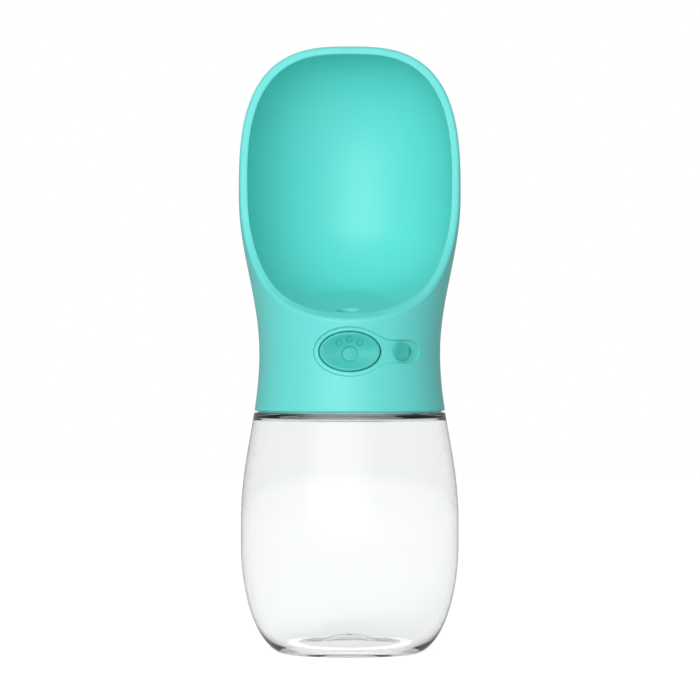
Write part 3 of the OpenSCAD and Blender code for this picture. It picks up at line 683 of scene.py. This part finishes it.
def make_bottle():
    b = Build()
    n, t = 288, 1.8             # columns, and thickness of the wall
    punt_r, punt_h = 15, 4.4
    cor = np.linspace(0, np.pi / 2, 44)
    foot = [(FOOT_R + (BELLY_R - FOOT_R) * math.sin(a), CORNER_Z * (1 - math.cos(a))) for a in cor]

    def dome(r, rise):
        return punt_h * (1 + math.cos(math.pi * r / punt_r)) / 2 + rise * r / punt_r

    punt = [(q, dome(q, 0.5)) for q in np.linspace(0, punt_r, 26)]
    belly = [(float(body_r(z)), z) for z in np.linspace(BELLY_Z, SHOULDER_Z - 0.4, 60)]
    r_s = float(body_r(SHOULDER_Z))
    edge = [(r_s - 0.4 + 0.4 * math.cos(a), SHOULDER_Z - 0.4 + 0.4 * math.sin(a))
            for a in np.linspace(0.12, np.pi / 2, 7)]
    ring = [(15.7, 0.38), (16.6, 0.12), (17.4, 0.02), (18.2, 0)]
    root_ = [(NECK_R + 0.9, SHOULDER_Z), (NECK_R + 0.3, SHOULDER_Z + 0.15), (NECK_R, SHOULDER_Z + 0.6)]
    lathe(b, punt + ring + foot + belly + edge + root_, n=n, close=False)
    # Neck with its thread, then the lip
    z = np.linspace(SHOULDER_Z + 0.6, NECK_TOP - 0.5, 40)
    a = np.arange(n) * 2 * np.pi / n
    rr = NECK_R + 0.95 * thread(a[None, :], z[:, None], 0.0, 1.5, 0.6, SHOULDER_Z + 0.7, NECK_TOP - 0.5)
    b.grid(rings(rr, z, a), close_v=True)
    r_in, sh = NECK_R - 2.0, SHOULDER_Z - t
    lip_ = [(NECK_R, NECK_TOP - 0.5), (NECK_R - 0.15, NECK_TOP - 0.15), (NECK_R - 0.5, NECK_TOP),
            (r_in + 0.5, NECK_TOP), (r_in + 0.15, NECK_TOP - 0.15), (r_in, NECK_TOP - 0.5),
            (r_in, sh + 0.6), (r_in + 0.2, sh + 0.15), (r_in + 0.7, sh)]
    r_i = float(body_r(sh)) - t
    in_edge = [(r_i - 0.6 + 0.6 * math.cos(q), sh - 0.6 + 0.6 * math.sin(q)) for q in np.linspace(np.pi / 2, 0.1, 8)]
    in_belly = [(float(body_r(q)) - t, q) for q in np.linspace(sh - 0.8, BELLY_Z, 58)]
    fl = t + 0.8
    in_foot = [(FOOT_R + (BELLY_R - t - FOOT_R) * math.sin(q), fl + (CORNER_Z - fl) * (1 - math.cos(q)))
               for q in cor[::-1]]
    in_punt = [(q, t + dome(q, 0.8)) for q in np.linspace(punt_r, 0, 26)]
    lathe(b, lip_ + in_edge + in_belly + in_foot + in_punt, n=n, close=False)
    return b.object("bottle_visual", angle=50)


def make_collar():
    """Collar and bulkhead, with the head's half of the thread."""
    b = Build()
    n = 240
    bore, outer_r, z0, z1, r_b = 25.4, 27.4, 84.5, BULKHEAD_Z, BULKHEAD_R
    z = np.linspace(z0 + 0.8, z1, 40)
    a = np.arange(n) * 2 * np.pi / n
    rr = bore - 0.9 * thread(a[None, :], z[:, None], LEAD / 4, 1.3, 0.5, z0 + 0.9, z1 - 1.8)
    b.grid(rings(rr, z, a), close_v=True)
    lathe(b, [(0, z1), (bore, z1)], n=n, close=False)
    lathe(b, [(bore, z0 + 0.8), (bore + 0.7, z0 + 0.1), (bore + 0.9, z0), (outer_r - 0.3, z0), (outer_r, z0 + 0.3),
              (outer_r, z1 - 0.3), (outer_r + 0.3, z1), (r_b - 0.3, z1), (r_b, z1 + 0.3), (r_b, z1 + 1.7),
              (r_b - 0.3, z1 + 2), (0, z1 + 2)], n=n, close=False)
    collar = b.object("neck_collar_visual", angle=40)
    inlet = Build()
    rod(inlet, 2.4, z1 - 1, z1 + 3, 64, y=INLET_Y)
    air, air_x, air_y = Build(), -14, 9
    rod(air, 1.4, z1 - 1, z1 + 3, 48, air_x, air_y)
    for q in np.radians([45, 135, 225, 315]):
        rod(air, 0.6, z1 - 1, z1 + 3, 32, air_x + 2.7 * math.cos(q), air_y + 2.7 * math.sin(q))
    cut(collar, [inlet.object("cut_inlet"), air.object("cut_air")])
    shade(collar, 40)
    c = Build()
    lathe(c, [(4.5, z1 + 1.9), (5.5, z1 + 1.9), (5.5, z1 + 2.6), (5.4, z1 + 2.7), (4.6, z1 + 2.7), (4.5, z1 + 2.6)],
          n=64, axis=(np.eye(3), (0, INLET_Y, 0)))
    join(collar, c.object("inlet_collar", check=False))
    return collar


def make_spring():
    """Return spring: a round wire coil at one even pitch, its wire ends capped, between the retainer and the end
    cap.
    """
    b = Build()
    mean, wire, turns, y0, y1 = 3.15, 0.3, 6.0, -2.85, 8.65
    n = int(turns * 48)
    t = np.linspace(0, 1, n + 1)
    ang = 2 * np.pi * turns * t
    y = y0 + (y1 - y0) * t
    c = np.stack([mean * np.cos(ang), y, mean * np.sin(ang)], -1)
    tan = np.gradient(c, axis=0)
    tan /= np.linalg.norm(tan, axis=1)[:, None]
    rad = np.stack([np.cos(ang), np.zeros_like(ang), np.sin(ang)], -1)
    bi = np.cross(tan, rad)
    u = np.arange(14) * 2 * np.pi / 14
    v = c[:, None] + wire * (np.cos(u)[None, :, None] * rad[:, None] + np.sin(u)[None, :, None] * bi[:, None])
    v[..., 2] += BUTTON_Z
    b.grid(v, close_v=True)
    for k, flip in ((0, False), (-1, True)):
        b.add(v[k], [tuple(range(14))[::-1] if flip else tuple(range(14))])
    return b.object("valve_spring_visual", angle=50)


bottle = make_bottle()
collar = make_collar()
spring = make_spring()


# ---------------------------------------------------------------- materials

def material(name, colour, rough, spread=0.03, tint=0.03, texture=0.02, grain=900.0, **sockets):
    """Moulded plastic: colour and gloss drift a little over the surface, and a fine grain breaks the highlights."""
    m = bpy.data.materials.new(name)
    m.use_nodes = True
    t = m.node_tree
    s = t.nodes["Principled BSDF"]
    for key, value in sockets.items():
        s.inputs[key.replace("_", " ")].default_value = value
    co = t.nodes.new("ShaderNodeTexCoord")
    drift = t.nodes.new("ShaderNodeTexNoise")
    drift.inputs["Scale"].default_value = 28
    drift.inputs["Detail"].default_value = 3
    t.links.new(co.outputs["Object"], drift.inputs["Vector"])
    ramp = t.nodes.new("ShaderNodeMix")
    ramp.data_type = "RGBA"
    a, b = ramp.inputs["A"], ramp.inputs["B"]
    a.default_value = (*[c * (1 - tint) for c in colour], 1)
    b.default_value = (*[min(1, c * (1 + tint)) for c in colour], 1)
    t.links.new(drift.outputs["Fac"], ramp.inputs["Factor"])
    t.links.new(ramp.outputs["Result"], s.inputs["Base Color"])
    fine = t.nodes.new("ShaderNodeTexNoise")
    fine.inputs["Scale"].default_value = grain
    fine.inputs["Detail"].default_value = 2
    t.links.new(co.outputs["Object"], fine.inputs["Vector"])
    r = t.nodes.new("ShaderNodeMapRange")
    r.inputs["From Min"].default_value = 0.3
    r.inputs["From Max"].default_value = 0.7
    r.inputs["To Min"].default_value = rough - spread
    r.inputs["To Max"].default_value = rough + spread
    t.links.new(fine.outputs["Fac"], r.inputs["Value"])
    t.links.new(r.outputs["Result"], s.inputs["Roughness"])
    if texture:
        bump = t.nodes.new("ShaderNodeBump")
        bump.inputs["Strength"].default_value = texture
        bump.inputs["Distance"].default_value = 0.0003
        t.links.new(fine.outputs["Fac"], bump.inputs["Height"])
        t.links.new(bump.outputs["Normal"], s.inputs["Normal"])
    return m


def linear(*rgb):
    """Linear colour from one written as 0 to 255."""
    return [c / 12.92 if c <= 0.04045 else ((c + 0.055) / 1.055) ** 2.4 for c in (v / 255 for v in rgb)]


teal = material("teal_plastic", linear(103, 219, 212), 0.34, tint=0.02, IOR=1.5)
teal_dark = material("button_plastic", linear(62, 188, 178), 0.38, tint=0.02, IOR=1.5)
white = material("white_plastic", linear(232, 234, 234), 0.4, tint=0.02, IOR=1.5)
# Painted shade: the outlet duct is coloured a dark grey-teal so that the outlet hole looks shadowed; the duct itself
# is not this dark
duct = material("duct_painted_shade", linear(50, 112, 107), 0.45, tint=0.02, IOR=1.5)
silicone = material("silicone", linear(214, 222, 222), 0.5, tint=0.03, texture=0.03, Subsurface_Weight=0.25,
                    Subsurface_Scale=0.002, IOR=1.42)
steel = material("steel", linear(196, 198, 200), 0.27, spread=0.06, tint=0.04, grain=2600.0, Metallic=1.0)
clear = material("clear_plastic", linear(252, 253, 253), 0.04, spread=0.02, tint=0.004, texture=0.003, grain=240.0,
                 Transmission_Weight=1.0, IOR=1.49)
smoke = clear.node_tree.nodes.new("ShaderNodeVolumeAbsorption")
smoke.inputs["Color"].default_value = (0.3, 0.3, 0.3, 1)
smoke.inputs["Density"].default_value = 22.0
clear.node_tree.links.new(smoke.outputs[0], clear.node_tree.nodes["Material Output"].inputs["Volume"])

for obj, mat in ((head, teal), (button, teal_dark), (knob, teal_dark), (bottle, clear), (collar, white),
                 (spring, steel)):
    obj.data.materials.clear()
    obj.data.materials.append(mat)

CAD_LOOK = {
    "neck_seal": silicone, "air_valve": silicone, "inlet_seal": silicone, "end_cap_oring": silicone,
    "stem_oring": silicone, "poppet_seal": silicone, "outlet_gasket": silicone,
    "valve_body": white, "valve_end_cap": white, "stem_gland": white, "poppet_retainer": white,
    "outlet_duct": duct, "lock_plate": white,
    "valve_screws": steel, "valve_stem": steel, "lock_clip": steel,
}
for name, mat in CAD_LOOK.items():
    o = nodes[name]
    if not o.material_slots:
        o.data.materials.append(mat)
    for sl in o.material_slots:
        sl.material = mat

# ---------------------------------------------------------------- bodies

for obj, body, node, slot in (
    (head, "head", "head_shell", "teal_plastic"),
    (button, "button", "button_cap", "dark_teal_plastic"),
    (knob, "lock", "lock_knob", "dark_teal_plastic"),
    (bottle, "bottle", "bottle", "clear_plastic"),
    (collar, "head", "neck_collar", "white_plastic"),
    (spring, "head", "valve_spring", "steel"),
):
    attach(obj, body)
    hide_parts(node)
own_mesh(spring)

# ---------------------------------------------------------------- floor, light and camera

scene = bpy.context.scene
scene.view_settings.view_transform = "Standard"


def seen_straight(t):
    """Socket that is 1 for rays from the camera and for those that came through the clear bottle."""
    path = t.nodes.new("ShaderNodeLightPath")
    either = t.nodes.new("ShaderNodeMath")
    either.operation = "MAXIMUM"
    t.links.new(path.outputs["Is Camera Ray"], either.inputs[0])
    t.links.new(path.outputs["Is Transmission Ray"], either.inputs[1])
    return either.outputs[0]


def stage_material(name, colour, glow):
    """Pale floor that keeps the object's shadow and adds enough for the camera to read as white."""
    m = bpy.data.materials.new(name)
    m.use_nodes = True
    t = m.node_tree
    t.nodes.clear()
    o = t.nodes.new("ShaderNodeOutputMaterial")
    d = t.nodes.new("ShaderNodeBsdfDiffuse")
    d.inputs["Color"].default_value = (*colour, 1)
    e = t.nodes.new("ShaderNodeEmission")
    add = t.nodes.new("ShaderNodeAddShader")
    scale = t.nodes.new("ShaderNodeMath")
    scale.operation = "MULTIPLY"
    scale.inputs[1].default_value = glow
    t.links.new(seen_straight(t), scale.inputs[0])
    t.links.new(scale.outputs[0], e.inputs["Strength"])
    t.links.new(d.outputs[0], add.inputs[0])
    t.links.new(e.outputs[0], add.inputs[1])
    t.links.new(add.outputs[0], o.inputs["Surface"])
    return m


b = Build()
size = 1800.0
b.grid(np.array([[(x, y, 0.0) for x in np.linspace(-size, size, 9)] for y in np.linspace(-size, size, 9)]))
floor = b.object("floor", check=False)
floor.data.materials.append(stage_material("floor_paint", (0.86, 0.86, 0.86), 0.7))

world = bpy.data.worlds.new("studio")
scene.world = world
world.use_nodes = True
t = world.node_tree
t.nodes.clear()
w_out = t.nodes.new("ShaderNodeOutputWorld")
soft = t.nodes.new("ShaderNodeBackground")
soft.inputs["Color"].default_value = (1, 1, 1, 1)
co = t.nodes.new("ShaderNodeTexCoord")
toward = t.nodes.new("ShaderNodeVectorMath")
toward.operation = "DOT_PRODUCT"
toward.inputs[1].default_value = Vector((-0.22, -0.96, 0.1)).normalized()
t.links.new(co.outputs["Generated"], toward.inputs[0])
lobe = t.nodes.new("ShaderNodeMapRange")
lobe.interpolation_type = "SMOOTHSTEP"
lobe.inputs["From Min"].default_value = 0.7
lobe.inputs["From Max"].default_value = 1.0
lobe.inputs["To Min"].default_value = 0.35
lobe.inputs["To Max"].default_value = 2.1
t.links.new(toward.outputs["Value"], lobe.inputs["Value"])
t.links.new(lobe.outputs["Result"], soft.inputs["Strength"])
show = t.nodes.new("ShaderNodeBackground")
show.inputs["Color"].default_value = (1, 1, 1, 1)
show.inputs["Strength"].default_value = 1.0
mix = t.nodes.new("ShaderNodeMixShader")
t.links.new(seen_straight(t), mix.inputs["Fac"])
t.links.new(soft.outputs[0], mix.inputs[1])
t.links.new(show.outputs[0], mix.inputs[2])
t.links.new(mix.outputs[0], w_out.inputs["Surface"])


def lamp(name, where, size_x, size_y, power, aim=(0, 0, 0.11)):
    data = bpy.data.lights.new(name, "AREA")
    data.shape, data.size, data.size_y, data.energy = "RECTANGLE", size_x, size_y, power
    o = bpy.data.objects.new(name, data)
    scene.collection.objects.link(o)
    o.location = where
    o.rotation_euler = (Vector(aim) - Vector(where)).to_track_quat("-Z", "Y").to_euler()
    return o


# The world's bright side gives the sheen, so that the clear bottle shows no lamp's outline
for o in (lamp("key", (-0.34, -1.5, 0.2), 0.7, 0.7, 11.0), lamp("top", (-0.25, -0.75, 1.5), 0.5, 0.5, 1.2)):
    o.visible_glossy = False
    o.visible_transmission = False

cam = bpy.data.cameras.new("camera")
cam.lens, cam.sensor_width, cam.clip_end = 200, 36, 20
cam_o = bpy.data.objects.new("camera", cam)
scene.collection.objects.link(cam_o)
cam_o.location = (0.0001, -1.3467, 0.1048)
cam_o.rotation_euler = (math.pi / 2, 0, 0)
scene.camera = cam_o
